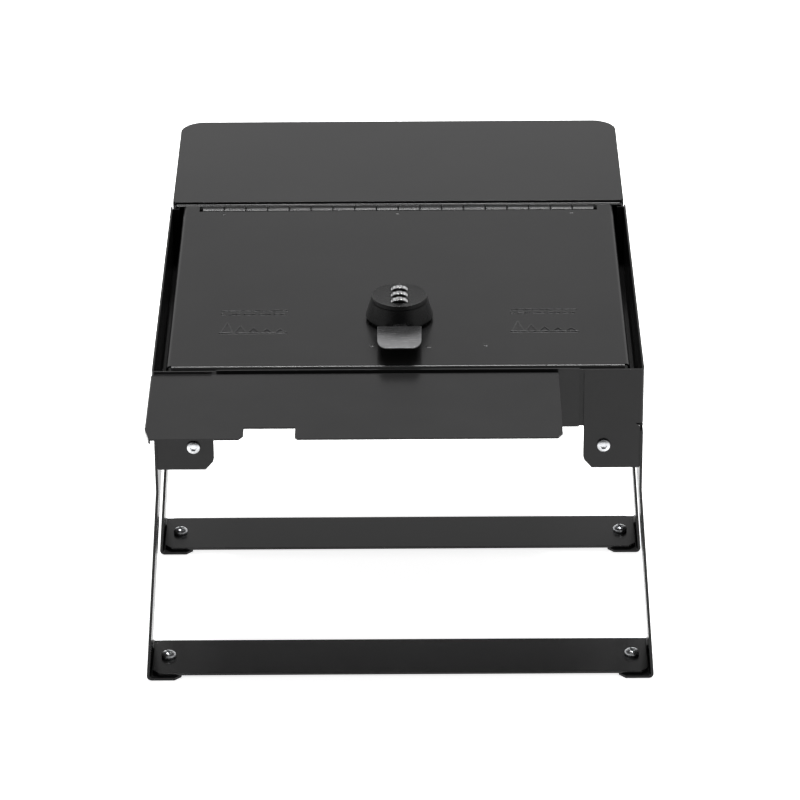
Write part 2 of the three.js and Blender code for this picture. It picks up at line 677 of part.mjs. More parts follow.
function lockKnob() {
  const profile = [
    [0, KNOB_BOTTOM],
    [KNOB_R - KNOB_EDGE, KNOB_BOTTOM],
    [KNOB_R, KNOB_BOTTOM + KNOB_EDGE],
    [KNOB_R, KNOB_BOTTOM + 2 * KNOB_EDGE],
    [KNOB_SHOULDER_R, KNOB_TOP - KNOB_SHOULDER],
    [KNOB_TOP_R, KNOB_TOP],
    [0, KNOB_TOP],
  ];
  const body = turned(profile, 0, LOCK_Y);
  const pockets = wheelYs.map((y) => cylinder(
    WHEEL_R + WHEEL_POCKET_GAP, WHEEL_THICK + 2 * WHEEL_POCKET_GAP, 'y', 0, y, WHEEL_Z, LOCK_SIDES,
  ));
  const boreLength = AXLE_LENGTH + 2 * FIT;
  const bore = cylinder(AXLE_R + AXLE_GAP, boreLength, 'y', 0, LOCK_Y, WHEEL_Z, AXLE_SIDES);
  return cut(body, ...pockets, bore);
}

function dialWheel(y) {
  const wheel = cylinder(WHEEL_R, WHEEL_THICK, 'y', 0, y, WHEEL_Z, LOCK_SIDES);
  const bore = cylinder(AXLE_R + AXLE_GAP, 2 * WHEEL_THICK, 'y', 0, y, WHEEL_Z, AXLE_SIDES);
  return cut(wheel, bore);
}

function dialAxle() {
  return cylinder(AXLE_R, AXLE_LENGTH, 'y', 0, LOCK_Y, WHEEL_Z, AXLE_SIDES);
}

function lockSpindle() {
  const top = KNOB_BOTTOM - FIT;
  const bottom = CAM_TOP + FIT;
  const body = cylinder(SPINDLE_R, top - bottom, 'z', 0, LOCK_Y, (top + bottom) / 2, LOCK_SIDES);
  return cut(body, cylinder(M6 + HOLE_GAP, 2 * SPINDLE_BORE, 'z', 0, LOCK_Y, bottom, SCREW_SIDES));
}

function lockNut() {
  const nut = hexNut(LOCK_NUT, SPINDLE_R + SPINDLE_GAP);
  return nut.translate([0, LOCK_Y, -SHEET - FIT - LOCK_NUT.thickness]);
}

// Latch cam, at rest turned sideways so that the lid can open.
function lockCam() {
  const arm = new THREE.Shape();
  arm.absarc(0, 0, CAM_HUB_R, Math.PI / 2, (3 * Math.PI) / 2, false);
  arm.lineTo(CAM_REACH - CAM_HUB_R / 2, -CAM_HUB_R);
  arm.lineTo(CAM_REACH, -CAM_HUB_R / 2);
  arm.lineTo(CAM_REACH, CAM_HUB_R / 2);
  arm.lineTo(CAM_REACH - CAM_HUB_R / 2, CAM_HUB_R);
  const plate = extrude(arm, 'z', CAM_TOP - CAM_SHEET, CAM_TOP);
  const hole = cylinder(M6 + HOLE_GAP, 3 * -CAM_TOP, 'z', 0, 0, 0, SCREW_SIDES);
  return cut(plate, hole).translate([0, LOCK_Y, 0]);
}

function camBolt() {
  const top = CAM_TOP - CAM_SHEET - FIT;
  const shankTop = CAM_TOP + CAM_BOLT_GRIP;
  const headZ = top - CAM_BOLT_HEAD / 2;
  const head = cylinder(CAM_BOLT_R, CAM_BOLT_HEAD, 'z', 0, LOCK_Y, headZ, 6);
  const length = shankTop - headZ;
  return join(head, cylinder(M6, length, 'z', 0, LOCK_Y, shankTop - length / 2, SCREW_SIDES));
}

// Bracket behind the front wall: the cam turns in under its rear edge to lock the lid.
function catchBracket() {
  const face = FRONT_WALL_Y + SHEET + FIT;
  const path = points(
    [CATCH_REAR_Y, CATCH_TOP],
    [face, CATCH_TOP],
    [face, CATCH_TOP - CATCH_DROP],
  );
  const outline = sheet(path, SHEET);
  return extrude(outline, 'x', -CATCH_HALF, CATCH_HALF);
}

// Assembly -----------------------------------------------------------------------------------

const stand = new THREE.Group();
stand.position.set(0, STAND_Y, LID_HEIGHT);

function add(name, solid, finish) {
  const material = new THREE.MeshStandardMaterial(finishes[finish]);
  material.name = finish;
  const mesh = new THREE.Mesh(toGeometry(solid), material);
  mesh.name = name;
  stand.add(mesh);
  return mesh;
}

function addPair(name, solid, finish) {
  add(`${name}_right`, solid, finish);
  add(`${name}_left`, mirrorX(solid), finish);
}

function addCase() {
  add('base_pan', basePan(), 'powder_coat');
  addPair('side_panel', sidePanel(), 'powder_coat');
  add('rear_shell', rearShell(), 'powder_coat');
  add('rear_cover', rearCover(), 'powder_coat');
  add('hinge_rail', hingeRail(), 'powder_coat');
  add('catch_bracket', catchBracket(), 'powder_coat');
}

function addLid() {
  add('lid', lid(), 'powder_coat');
  add('hinge_leaf_fixed', hingeLeafFixed(), 'hinge_steel');
  add('hinge_leaf_lid', hingeLeafLid(), 'hinge_steel');
  add('hinge_pin', hingePin(), 'hinge_steel');
}

function addShelf() {
  add('front_shelf', frontShelf(), 'powder_coat');
  SHELF_SCREW_X.forEach((x, index) => {
    const screw = add(`shelf_screw_${index + 1}`, domedScrew(shelfScrew), 'zinc');
    screw.position.set(x, -FIT, SHELF_SCREW_Z);
    screw.rotation.x = Math.PI / 2;
    const nut = add(`shelf_nut_${index + 1}`, hexNut(SHELF_NUT, M4 + HOLE_GAP), 'zinc');
    nut.position.set(x, FRONT_WALL_Y + SHEET + FIT, SHELF_SCREW_Z);
    nut.rotation.x = -Math.PI / 2;
  });
}

function addLegFrame(place, y) {
  addPair(`leg_${place}`, leg(y), 'powder_coat');
  add(`foot_bar_${place}`, footBar(y), 'powder_coat');
  [['left', -1], ['right', 1]].forEach(([side, sign]) => {
    const bolt = add(`leg_bolt_${place}_${side}`, domedScrew(legBolt), 'zinc');
    bolt.position.set(sign * HANGER_BOLT_X, y - FIT, HANGER_BOLT_Z);
    bolt.rotation.x = Math.PI / 2;
    const nut = add(`leg_nut_${place}_${side}`, hexNut(LEG_NUT, M8 + HOLE_GAP), 'zinc');
    nut.position.set(sign * HANGER_BOLT_X, y + SHEET + LEG_SHEET + 2 * FIT, HANGER_BOLT_Z);
    nut.rotation.x = -Math.PI / 2;
    const screw = add(`foot_screw_${place}_${side}`, domedScrew(footScrew), 'zinc');
    const barTop = GROUND_Z + LEG_SHEET + BAR_THICK + 2 * FIT;
    screw.position.set(sign * FOOT_SCREW_X, y + LEG_DEPTH / 2, barTop);
  });
}

// The lock's pieces are drawn about x = 0 and moved together.
function addLock() {
  const wheels = wheelYs.map((y, index) => add(`dial_wheel_${index + 1}`, dialWheel(y), 'chrome'));
  const pieces = [
    add('finger_tab', fingerTab(), 'satin_metal'),
    add('lock_base', lockBase(), 'knob_plastic'),
    add('lock_knob', lockKnob(), 'knob_plastic'),
    add('dial_axle', dialAxle(), 'zinc'),
    add('lock_spindle', lockSpindle(), 'zinc'),
    add('lock_nut', lockNut(), 'zinc'),
    add('lock_cam', lockCam(), 'zinc'),
    add('cam_bolt', camBolt(), 'zinc'),
  ];
  wheels.concat(pieces).forEach((piece) => piece.position.setX(LOCK_X));
}

addCase();
addLid();
addShelf();
addLegFrame('front', LEG_Y[0]);
addLegFrame('rear', LEG_Y[1]);
addPair('rear_hanger', rearHanger(), 'powder_coat');
addLock();

const laptopStand = new THREE.Group();
laptopStand.add(stand);

export default laptopStand;
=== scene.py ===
import json
import math

import bmesh
import bpy
from mathutils import Matrix, Vector


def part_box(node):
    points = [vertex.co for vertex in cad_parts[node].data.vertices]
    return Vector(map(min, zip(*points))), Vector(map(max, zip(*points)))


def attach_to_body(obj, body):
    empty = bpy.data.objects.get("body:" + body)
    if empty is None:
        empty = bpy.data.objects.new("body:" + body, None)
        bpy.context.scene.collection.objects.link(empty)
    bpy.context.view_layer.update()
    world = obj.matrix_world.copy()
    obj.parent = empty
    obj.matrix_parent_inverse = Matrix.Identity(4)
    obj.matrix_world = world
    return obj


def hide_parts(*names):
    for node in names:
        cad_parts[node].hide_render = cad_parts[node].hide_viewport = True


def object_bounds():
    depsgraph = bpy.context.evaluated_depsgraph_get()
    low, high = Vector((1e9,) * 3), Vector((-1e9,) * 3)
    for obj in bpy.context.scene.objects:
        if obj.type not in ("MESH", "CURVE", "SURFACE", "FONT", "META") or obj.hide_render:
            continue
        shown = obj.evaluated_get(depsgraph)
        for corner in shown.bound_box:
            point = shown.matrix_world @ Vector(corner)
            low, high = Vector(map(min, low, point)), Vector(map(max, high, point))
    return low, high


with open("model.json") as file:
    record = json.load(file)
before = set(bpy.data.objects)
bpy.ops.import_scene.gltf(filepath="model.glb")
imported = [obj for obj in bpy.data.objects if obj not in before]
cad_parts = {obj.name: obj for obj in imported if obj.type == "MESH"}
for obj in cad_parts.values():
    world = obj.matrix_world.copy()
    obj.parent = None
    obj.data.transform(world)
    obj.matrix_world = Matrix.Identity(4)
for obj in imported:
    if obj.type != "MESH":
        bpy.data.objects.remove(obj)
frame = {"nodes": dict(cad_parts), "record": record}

MM = 0.001
CAD_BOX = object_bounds()

# ---------------------------------------------------------------- places taken from the frame

KNOB_LOW, KNOB_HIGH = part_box("lock_knob")
FLOOR_Z = CAD_BOX[0].z
LID_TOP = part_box("lid")[1].z
CASE_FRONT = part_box("side_panel_right")[0].y
KNOB_CENTRE = (KNOB_LOW + KNOB_HIGH) / 2


# ---------------------------------------------------------------- node helpers

def new_material(name):
    material = bpy.data.materials.new(name)
    material.use_nodes = True
    tree = material.node_tree
    shader = tree.nodes["Principled BSDF"]
    return material, tree, shader


def add_node(tree, kind, **sockets):
    node = tree.nodes.new(kind)
    for name, value in sockets.items():
        node.inputs[name.replace("_", " ")].default_value = value
    return node


def noise(tree, coords, scale, detail=3.0, roughness=0.5):
    node = add_node(tree, "ShaderNodeTexNoise", Scale=scale, Detail=detail, Roughness=roughness)
    tree.links.new(coords, node.inputs["Vector"])
    return node.outputs["Fac"]


def remap(tree, value, low, high, to_low, to_high):
    node = tree.nodes.new("ShaderNodeMapRange")
    tree.links.new(value, node.inputs["Value"])
    sockets = ("From Min", "From Max", "To Min", "To Max")
    for socket, number in zip(sockets, (low, high, to_low, to_high)):
        node.inputs[socket].default_value = number
    return node.outputs["Result"]


def multiply(tree, first, second):
    node = tree.nodes.new("ShaderNodeMath")
    node.operation = "MULTIPLY"
    tree.links.new(first, node.inputs[0])
    tree.links.new(second, node.inputs[1])
    return node.outputs["Value"]


def mix_colour(tree, factor, first, second):
    node = tree.nodes.new("ShaderNodeMix")
    node.data_type = "RGBA"
    tree.links.new(factor, node.inputs["Factor"])
    for socket, value in zip((node.inputs[6], node.inputs[7]), (first, second)):
        if isinstance(value, tuple):
            socket.default_value = (*value, 1.0)
        else:
            tree.links.new(value, socket)
    return node.outputs[2]


def object_coords(tree):
    return tree.nodes.new("ShaderNodeTexCoord").outputs["Object"]


def stretched(tree, coords, scale):
    node = tree.nodes.new("ShaderNodeMapping")
    tree.links.new(coords, node.inputs["Vector"])
    node.inputs["Scale"].default_value = scale
    return node.outputs["Vector"]


def add_bump(tree, shader, layers):
    """Chains bump nodes: layers are (height socket, depth in metres, strength)."""
    normal = None
    for height, distance, strength in layers:
        bump = add_node(tree, "ShaderNodeBump", Strength=strength, Distance=distance)
        tree.links.new(height, bump.inputs["Height"])
        if normal is not None:
            tree.links.new(normal, bump.inputs["Normal"])
        normal = bump.outputs["Normal"]
    tree.links.new(normal, shader.inputs["Normal"])


# ---------------------------------------------------------------- materials

CASE_GLOSS = 0.225
COVER_GLOSS = 0.29
BAR_GLOSS = 0.38


def powder_coat(name="powder_coat", pale_patches=False, gloss=CASE_GLOSS):
    """Satin black powder coat with a fine orange peel; a rubbed one is paler in patches, and laid
    over the lid's pressed marks that paler coat is a painted highlight.
    """
    material, tree, shader = new_material(name)
    coords = object_coords(tree)
    clouds = remap(tree, noise(tree, coords, 6.0, 4.0, 0.6), 0.3, 0.7, 0.0, 1.0)
    colour = mix_colour(tree, clouds, (0.0088, 0.0087, 0.009), (0.0112, 0.011, 0.0112))
    if pale_patches:
        patches = remap(tree, noise(tree, coords, 45.0, 4.0, 0.6), 0.45, 0.75, 0.0, 0.7)
        colour = mix_colour(tree, patches, colour, (0.035, 0.035, 0.036))
    tree.links.new(colour, shader.inputs["Base Color"])
    sheen = remap(tree, noise(tree, coords, 19.0, 4.0), 0.3, 0.7, 0.215, 0.235)
    tree.links.new(sheen, shader.inputs["Roughness"])
    shader.inputs["Specular IOR Level"].default_value = gloss
    peel = noise(tree, coords, 520.0, 2.0)
    grain = noise(tree, coords, 1700.0, 2.0, 0.6)
    add_bump(tree, shader, [(peel, 0.0001, 0.08), (grain, 0.00006, 0.12)])
    return material


def hinge_steel(name="hinge_steel", pale_patches=False):
    """Black-coated steel, glossier and paler where the barrel is rubbed."""
    material, tree, shader = new_material(name)
    coords = object_coords(tree)
    tone = remap(tree, noise(tree, coords, 30.0, 4.0), 0.3, 0.7, 0.0, 1.0)
    colour = mix_colour(tree, tone, (0.0055, 0.0055, 0.0058), (0.0085, 0.0084, 0.0086))
    if pale_patches:
        patches = remap(tree, noise(tree, coords, 80.0, 4.0), 0.4, 0.7, 0.0, 1.0)
        colour = mix_colour(tree, patches, colour, (0.07, 0.07, 0.072))
    tree.links.new(colour, shader.inputs["Base Color"])
    sheen = remap(tree, noise(tree, coords, 90.0), 0.3, 0.7, 0.24, 0.32)
    tree.links.new(sheen, shader.inputs["Roughness"])
    shader.inputs["Specular IOR Level"].default_value = 0.35
    add_bump(tree, shader, [(noise(tree, coords, 900.0), 0.0001, 0.15)])
    return material


def oiled_pin():
    """The hinge pin, deep between the knuckles: near-black, nearly glossless steel, a painted shade
    for the gaps.
    """
    material, tree, shader = new_material("hinge_pin")
    coords = object_coords(tree)
    tone = remap(tree, noise(tree, coords, 200.0), 0.3, 0.7, 0.0, 1.0)
    colour = mix_colour(tree, tone, (0.002, 0.002, 0.002), (0.004, 0.004, 0.004))
    tree.links.new(colour, shader.inputs["Base Color"])
    shader.inputs["Roughness"].default_value = 0.6
    shader.inputs["Specular IOR Level"].default_value = 0.05
    return material


def knob_plastic(name="knob_plastic", pale_patches=False):
    """Moulded black plastic with a spark-eroded grain."""
    material, tree, shader = new_material(name)
    coords = object_coords(tree)
    tone = remap(tree, noise(tree, coords, 40.0), 0.3, 0.7, 0.0, 1.0)
    colour = mix_colour(tree, tone, (0.0022, 0.0022, 0.0024), (0.0036, 0.0036, 0.0038))
    if pale_patches:
        patches = remap(tree, noise(tree, coords, 120.0, 3.0), 0.4, 0.7, 0.0, 1.0)
        colour = mix_colour(tree, patches, colour, (0.012, 0.012, 0.012))
    tree.links.new(colour, shader.inputs["Base Color"])
    sheen = remap(tree, noise(tree, coords, 70.0), 0.3, 0.7, 0.24, 0.3)
    tree.links.new(sheen, shader.inputs["Roughness"])
    shader.inputs["Specular IOR Level"].default_value = 0.23
    add_bump(tree, shader, [(noise(tree, coords, 2600.0, 2.0), 0.00006, 0.2)])
    return material


def metal(name, bright, dull, rough, rough_spread, scratch_scale):
    """Bare or plated metal: tone varies softly and fine scratches run one way."""
    material, tree, shader = new_material(name)
    coords = object_coords(tree)
    tone = remap(tree, noise(tree, coords, 55.0, 4.0), 0.35, 0.65, 0.0, 1.0)
    tree.links.new(mix_colour(tree, tone, bright, dull), shader.inputs["Base Color"])
    shader.inputs["Metallic"].default_value = 1.0
    scratches = noise(tree, stretched(tree, coords, scratch_scale), 1.0, 3.0, 0.7)
    spread = remap(tree, scratches, 0.3, 0.7, rough, rough + rough_spread)
    tree.links.new(spread, shader.inputs["Roughness"])
    add_bump(tree, shader, [(scratches, 0.00005, 0.12)])
    return material


def digit_paint():
    """Matt black paint of the numbers on the dial wheels."""
    material, tree, shader = new_material("digit_paint")
    coords = object_coords(tree)
    tone = remap(tree, noise(tree, coords, 900.0), 0.4, 0.6, 0.0, 1.0)
    colour = mix_colour(tree, tone, (0.012, 0.012, 0.012), (0.02, 0.02, 0.02))
    tree.links.new(colour, shader.inputs["Base Color"])
    shader.inputs["Roughness"].default_value = 0.5
    return material


def floor_paper():
    """White paper that glows a little, so that the floor stays white round the stand."""
    material, tree, shader = new_material("floor_paper")
    coords = object_coords(tree)
    tone = remap(tree, noise(tree, coords, 3.0), 0.3, 0.7, 0.0, 1.0)
    colour = mix_colour(tree, tone, (0.86, 0.86, 0.86), (0.88, 0.88, 0.88))
    tree.links.new(colour, shader.inputs["Base Color"])
    shader.inputs["Roughness"].default_value = 0.9
    shader.inputs["Emission Color"].default_value = (1.0, 1.0, 1.0, 1.0)
    shader.inputs["Emission Strength"].default_value = 0.82
    return material


COVER_COAT = powder_coat("cover_coat", gloss=COVER_GLOSS)
BAR_COAT = powder_coat("bar_coat", gloss=BAR_GLOSS)

# A material for each slot, and for the few nodes that have one of their own.
MATERIALS = {
    "powder_coat": powder_coat(),
    "hinge_steel": hinge_steel(),
    "knob_plastic": knob_plastic(),
    "hinge_pin": oiled_pin(),
    "satin_metal": metal("satin_metal", (0.27, 0.27, 0.275), (0.22, 0.22, 0.225),
                         0.2, 0.08, (40, 1500, 1500)),
    "chrome": metal("chrome", (0.74, 0.74, 0.75), (0.62, 0.62, 0.63), 0.07, 0.08, (900, 900, 900)),
    "zinc": metal("zinc", (0.66, 0.67, 0.68), (0.52, 0.53, 0.55), 0.2, 0.14, (700, 700, 700)),
    "rear_cover": COVER_COAT,
    "foot_bar_front": BAR_COAT,
    "foot_bar_rear": BAR_COAT,
}

# The material of a softened edge, by the name of the material beside it. The powder coat's one also
# covers the lid's pressed marks whole, as a painted highlight.
WEAR_AND_HIGHLIGHT = {
    "powder_coat": powder_coat("powder_coat_wear_and_highlight", True),
    "hinge_steel": hinge_steel("hinge_steel_worn_edge", True),
    "knob_plastic": knob_plastic("knob_plastic_worn_edge", True),
    "cover_coat": powder_coat("cover_coat_worn_edge", True, COVER_GLOSS),
    "bar_coat": powder_coat("bar_coat_worn_edge", True, BAR_GLOSS),
}
DIGIT_PAINT = digit_paint()
SLOT_OF = {row["node"]: row["material_slot"] for row in frame["record"]["subparts"]}


# ---------------------------------------------------------------- mesh helpers

def paint(obj, material):
    obj.data.materials.clear()
    obj.data.materials.append(material)


def soften(obj, width, segments=3, angle=30):
    """Rounds the sharp edges of a piece, and shades it smooth with its flats kept flat."""
    bevel = obj.modifiers.new("edges", "BEVEL")
    bevel.width = width
    bevel.segments = segments
    bevel.limit_method = "ANGLE"
    bevel.angle_limit = math.radians(angle)
    pale_patches = WEAR_AND_HIGHLIGHT.get(obj.data.materials[0].name)
    if pale_patches is not None:
        obj.data.materials.append(pale_patches)
        bevel.material = len(obj.data.materials) - 1
    for polygon in obj.data.polygons:
        polygon.use_smooth = True
    normals = obj.modifiers.new("normals", "WEIGHTED_NORMAL")
    normals.keep_sharp = False
    normals.weight = 80


def refine_cad(name, width):
    """Keeps a CAD node's shape, and welds, simplifies and rounds it with modifiers."""
    obj = frame["nodes"][name]
    attribute = obj.data.attributes.get("custom_normal")
    if attribute is not None:
        obj.data.attributes.remove(attribute)
    weld = obj.modifiers.new("weld", "WELD")
    weld.merge_threshold = 0.002 * MM
    flats = obj.modifiers.new("flats", "DECIMATE")
    flats.decimate_type = "DISSOLVE"
    flats.angle_limit = math.radians(0.5)
    paint(obj, MATERIALS.get(name, MATERIALS[SLOT_OF[name]]))
    soften(obj, width)


def make_object(name, mesh_builder, material):
    builder = bmesh.new()
    mesh_builder(builder)
    bmesh.ops.recalc_face_normals(builder, faces=builder.faces)
    mesh = bpy.data.meshes.new(name)
    builder.to_mesh(mesh)
    builder.free()
    obj = bpy.data.objects.new(name, mesh)
    bpy.context.scene.collection.objects.link(obj)
    for polygon in mesh.polygons:
        polygon.use_smooth = True
    paint(obj, material)
    return obj


def attach(obj, body, slot, *nodes):
    """Fixes an object to a body, and puts it in place of CAD nodes; its slot is not used."""
    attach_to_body(obj, body)
    if nodes:
        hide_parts(*nodes)


def lathe(builder, profile, sides, centre_at=Vector((0, 0, 0))):
    """Turns (radius, height) points about a vertical axis through centre_at."""
    rings = []
    for radius, height in profile:
        if radius < 1e-7:
            rings.append([builder.verts.new(centre_at + Vector((0, 0, height)))])
            continue
        ring = []
        for i in range(sides):
            angle = 2 * math.pi * i / sides
            spot = Vector((radius * math.cos(angle), radius * math.sin(angle), height))
            ring.append(builder.verts.new(centre_at + spot))
        rings.append(ring)
    for lower, upper in zip(rings, rings[1:]):
        for i in range(sides):
            j = (i + 1) % sides
            corners = [lower[i % len(lower)], lower[j % len(lower)]]
            corners += [upper[j % len(upper)], upper[i % len(upper)]]
            unique = list(dict.fromkeys(corners))
            if len(unique) > 2:
                builder.faces.new(unique)


def apply_cut(obj, cutters, operation="DIFFERENCE"):
    """Cuts or trims obj by other objects, and bakes the result into its mesh."""
    for cutter in cutters:
        step = obj.modifiers.new("cut", "BOOLEAN")
        step.object = cutter
        step.operation = operation
        step.solver = "EXACT"
    graph = bpy.context.evaluated_depsgraph_get()
    baked = bpy.data.meshes.new_from_object(obj.evaluated_get(graph))
    obj.modifiers.clear()
    obj.data = baked
    for cutter in cutters:
        bpy.data.objects.remove(cutter)
    for polygon in obj.data.polygons:
        polygon.use_smooth = True


def prism(builder, outline, low, high):
    """A straight prism over an (x, y) outline."""
    bottom = [builder.verts.new((x, y, low)) for x, y in outline]
    top = [builder.verts.new((x, y, high)) for x, y in outline]
    builder.faces.new(bottom[::-1])
    builder.faces.new(top)
    for i in range(len(outline)):
        j = (i + 1) % len(outline)
        builder.faces.new((bottom[i], bottom[j], top[j], top[i]))


def regular(sides, radius):
    steps = [2 * math.pi * i / sides for i in range(sides)]
    return [(radius * math.cos(a), radius * math.sin(a)) for a in steps]


def rectangle(width, depth):
    x, y = width / 2, depth / 2
    return [(-x, -y), (x, -y), (x, y), (-x, y)]


# ---------------------------------------------------------------- fasteners

# Head radius, head height, share of it that is a straight rim, shank radius, shank length,
# recess, the way the head faces, and how far it stands above the CAD head.
LEG_BOLT = (7.1 * MM, 4.4 * MM, 0.6, 4 * MM, 15 * MM, "hexagon", "-y", 0)
FOOT_SCREW = (8.3 * MM, 6.4 * MM, 0.35, 3 * MM, 5.4 * MM, "cross", "z", 1.2 * MM)
SHELF_SCREW = (4 * MM, 2.4 * MM, 0.3, 2 * MM, 10 * MM, "cross", "-y", 0)

# Half the thread's width and the way the thread runs.
LEG_NUT = (4.25 * MM, "y")
SHELF_NUT = (2.25 * MM, "y")
LOCK_NUT = (9.8 * MM, "z")


def screw(name, node, kind):
    """A domed screw with a hexagon or cross recess, in place of a plain CAD one."""
    head_radius, head_height, rim_share, shank_radius, shank_length, recess, faces, proud = kind
    low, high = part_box(node)
    middle = (low + high) / 2
    steps = 8
    profile = [(0, -shank_length), (shank_radius - 0.5 * MM, -shank_length)]
    profile += [(shank_radius, -shank_length + 0.5 * MM), (shank_radius, 0)]
    profile += [(head_radius - 0.2 * MM, 0)]
    edge = rim_share * head_height
    for i in range(steps + 1):
        angle = math.pi / 2 * i / steps
        height = edge + (head_height - edge) * math.sin(angle)
        profile.append((head_radius * math.cos(angle), height))
    profile[-1] = (0, head_height)
    body = make_object(name, lambda b: lathe(b, profile, 48), MATERIALS["zinc"])
    depth = 0.6 * head_height
    span = (head_height - depth, head_height + depth)
    if recess == "hexagon":
        outlines = [regular(6, head_radius * 0.5)]
    else:
        arm, slot = 1.1 * head_radius, 0.3 * head_radius
        outlines = [rectangle(arm, slot), rectangle(slot, arm)]
    cutters = []
    for outline in outlines:
        cutters.append(make_object("cutter", lambda b: prism(b, outline, *span), MATERIALS["zinc"]))
    apply_cut(body, cutters)
    if faces == "z":
        seat = Vector((middle.x, middle.y, high.z - head_height + proud))
        body.data.transform(Matrix.Translation(seat) @ Matrix.Rotation(math.radians(20), 4, "Z"))
    else:
        seat = Vector((middle.x, low.y + head_height, middle.z))
        body.data.transform(Matrix.Translation(seat) @ Matrix.Rotation(math.pi / 2, 4, "X"))
    soften(body, 0.18 * MM, 2, 40)
    attach(body, "case", "zinc", node)


def nut(name, node, body_name, kind):
    """A hexagon nut with turned-down corners and a chamfered thread hole."""
    bore, along = kind
    low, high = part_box(node)
    size = high - low
    if along == "z":
        thick = size.z
        flats = min(size.x, size.y)
        turn = Matrix.Rotation(math.pi / 6, 4, "Z")
    else:
        thick = size.y
        flats = min(size.x, size.z)
        turn = Matrix.Rotation(math.pi / 2, 4, "X")
    face = thick / 2
    corner = flats / math.sqrt(3)
    plain = regular(6, corner)
    body = make_object(name, lambda b: prism(b, plain, -face, face), MATERIALS["zinc"])
    rim = corner * 0.88
    cone = [(0, -face), (rim, -face), (corner * 1.01, -face + corner * 0.08)]
    cone += [(corner * 1.01, face - corner * 0.08), (rim, face), (0, face)]
    turned = make_object("cutter", lambda b: lathe(b, cone, 64), MATERIALS["zinc"])
    apply_cut(body, [turned], "INTERSECT")
    hole = [(0, -thick), (bore * 1.4, -thick), (bore, -face + bore * 0.2)]
    hole += [(bore, face - bore * 0.2), (bore * 1.4, thick), (0, thick)]
    drill = make_object("cutter", lambda b: lathe(b, hole, 48), MATERIALS["zinc"])
    apply_cut(body, [drill])
    body.data.transform(Matrix.Translation((low + high) / 2) @ turn)
    soften(body, 0.12 * MM, 2, 40)
    attach(body, body_name, "zinc", node)


def make_fasteners():
    for place in ("front", "rear"):
        for side in ("left", "right"):
            tail = f"{place}_{side}"
            screw(f"leg_bolt_head_{tail}", f"leg_bolt_{tail}", LEG_BOLT)
            screw(f"foot_screw_head_{tail}", f"foot_screw_{tail}", FOOT_SCREW)
            nut(f"leg_hex_nut_{tail}", f"leg_nut_{tail}", "case", LEG_NUT)
    for i in range(1, 5):
        screw(f"shelf_screw_head_{i}", f"shelf_screw_{i}", SHELF_SCREW)
        nut(f"shelf_hex_nut_{i}", f"shelf_nut_{i}", "case", SHELF_NUT)
    nut("lock_hex_nut", "lock_nut", "lid", LOCK_NUT)


# ---------------------------------------------------------------- lock

KNOB_TOP_RADIUS = 30.5 * MM
WHEEL_POCKET = 0.6 * MM
AXLE_BORE = 2.25 * MM
NUMBERS = 10
FLAT_SHARE = 0.992                  # a number's flat, as a share of the wheel's radius


def knob_profile():
    """The knob's outline: a straight flared side, a fine groove, a steep band, a rimmed top."""
    radius = (KNOB_HIGH.x - KNOB_LOW.x) / 2
    low, high = KNOB_LOW.z, KNOB_HIGH.z
    points = [(0, low), (radius - 0.7 * MM, low), (radius - 0.15 * MM, low + 0.25 * MM)]
    points += [(radius, low + 0.8 * MM), (radius - 0.1 * MM, low + 1.5 * MM)]
    shoulder = KNOB_TOP_RADIUS + 1.1 * MM
    flare_low = low + 1.5 * MM
    flare_high = high - 5 * MM
    steps = 6
    for i in range(1, steps + 1):
        t = i / steps
        height = flare_low + (flare_high - flare_low) * t
        points.append((radius - 0.1 * MM + (shoulder - radius) * t, height))
    groove = shoulder - 0.7 * MM
    points += [(groove, flare_high + 0.25 * MM), (groove, flare_high + 0.6 * MM)]
    points += [(shoulder - 0.1 * MM, flare_high + 0.9 * MM)]
    points += [(KNOB_TOP_RADIUS + 0.25 * MM, high - 1.2 * MM)]
    points += [(KNOB_TOP_RADIUS, high - 0.4 * MM), (KNOB_TOP_RADIUS - 0.5 * MM, high)]
    points += [(KNOB_TOP_RADIUS - 1.3 * MM, high), (KNOB_TOP_RADIUS - 1.7 * MM, high - 0.25 * MM)]
    points += [(0, high - 0.25 * MM)]
    return points


def make_knob():
    plastic = MATERIALS["knob_plastic"]
    origin = Vector((KNOB_CENTRE.x, KNOB_CENTRE.y, 0))
    knob = make_object("combination_knob", lambda b: lathe(b, knob_profile(), 96, origin), plastic)
    cutters = []
    for i in (1, 2, 3):
        low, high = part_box(f"dial_wheel_{i}")
        middle = (low + high) / 2
        radius = (high.x - low.x) / 2 + WHEEL_POCKET
        half = (high.y - low.y) / 2 + WHEEL_POCKET
        outline = [(0, -half), (radius, -half), (radius, half), (0, half)]
        pocket = make_object("cutter", lambda b: lathe(b, outline, 64), plastic)
        pocket.data.transform(Matrix.Translation(middle) @ Matrix.Rotation(math.pi / 2, 4, "X"))
        cutters.append(pocket)
    apply_cut(knob, cutters)
    soften(knob, 0.25 * MM, 2, 35)
    attach(knob, "knob", "knob_plastic", "lock_knob")


def wheel_outline(radius):
    """A dial wheel from its side: a flat for each number, with a groove between them."""
    outline = []
    step = 2 * math.pi / NUMBERS
    groove = radius - 0.9 * MM
    flat = radius * FLAT_SHARE
    points = ((-0.5, groove), (-0.36, radius), (-0.12, flat), (0.12, flat), (0.36, radius))
    for i in range(NUMBERS):
        middle = math.pi / 2 + i * step
        for offset, r in points:
            angle = middle + offset * step
            outline.append((r * math.cos(angle), r * math.sin(angle)))
    return outline


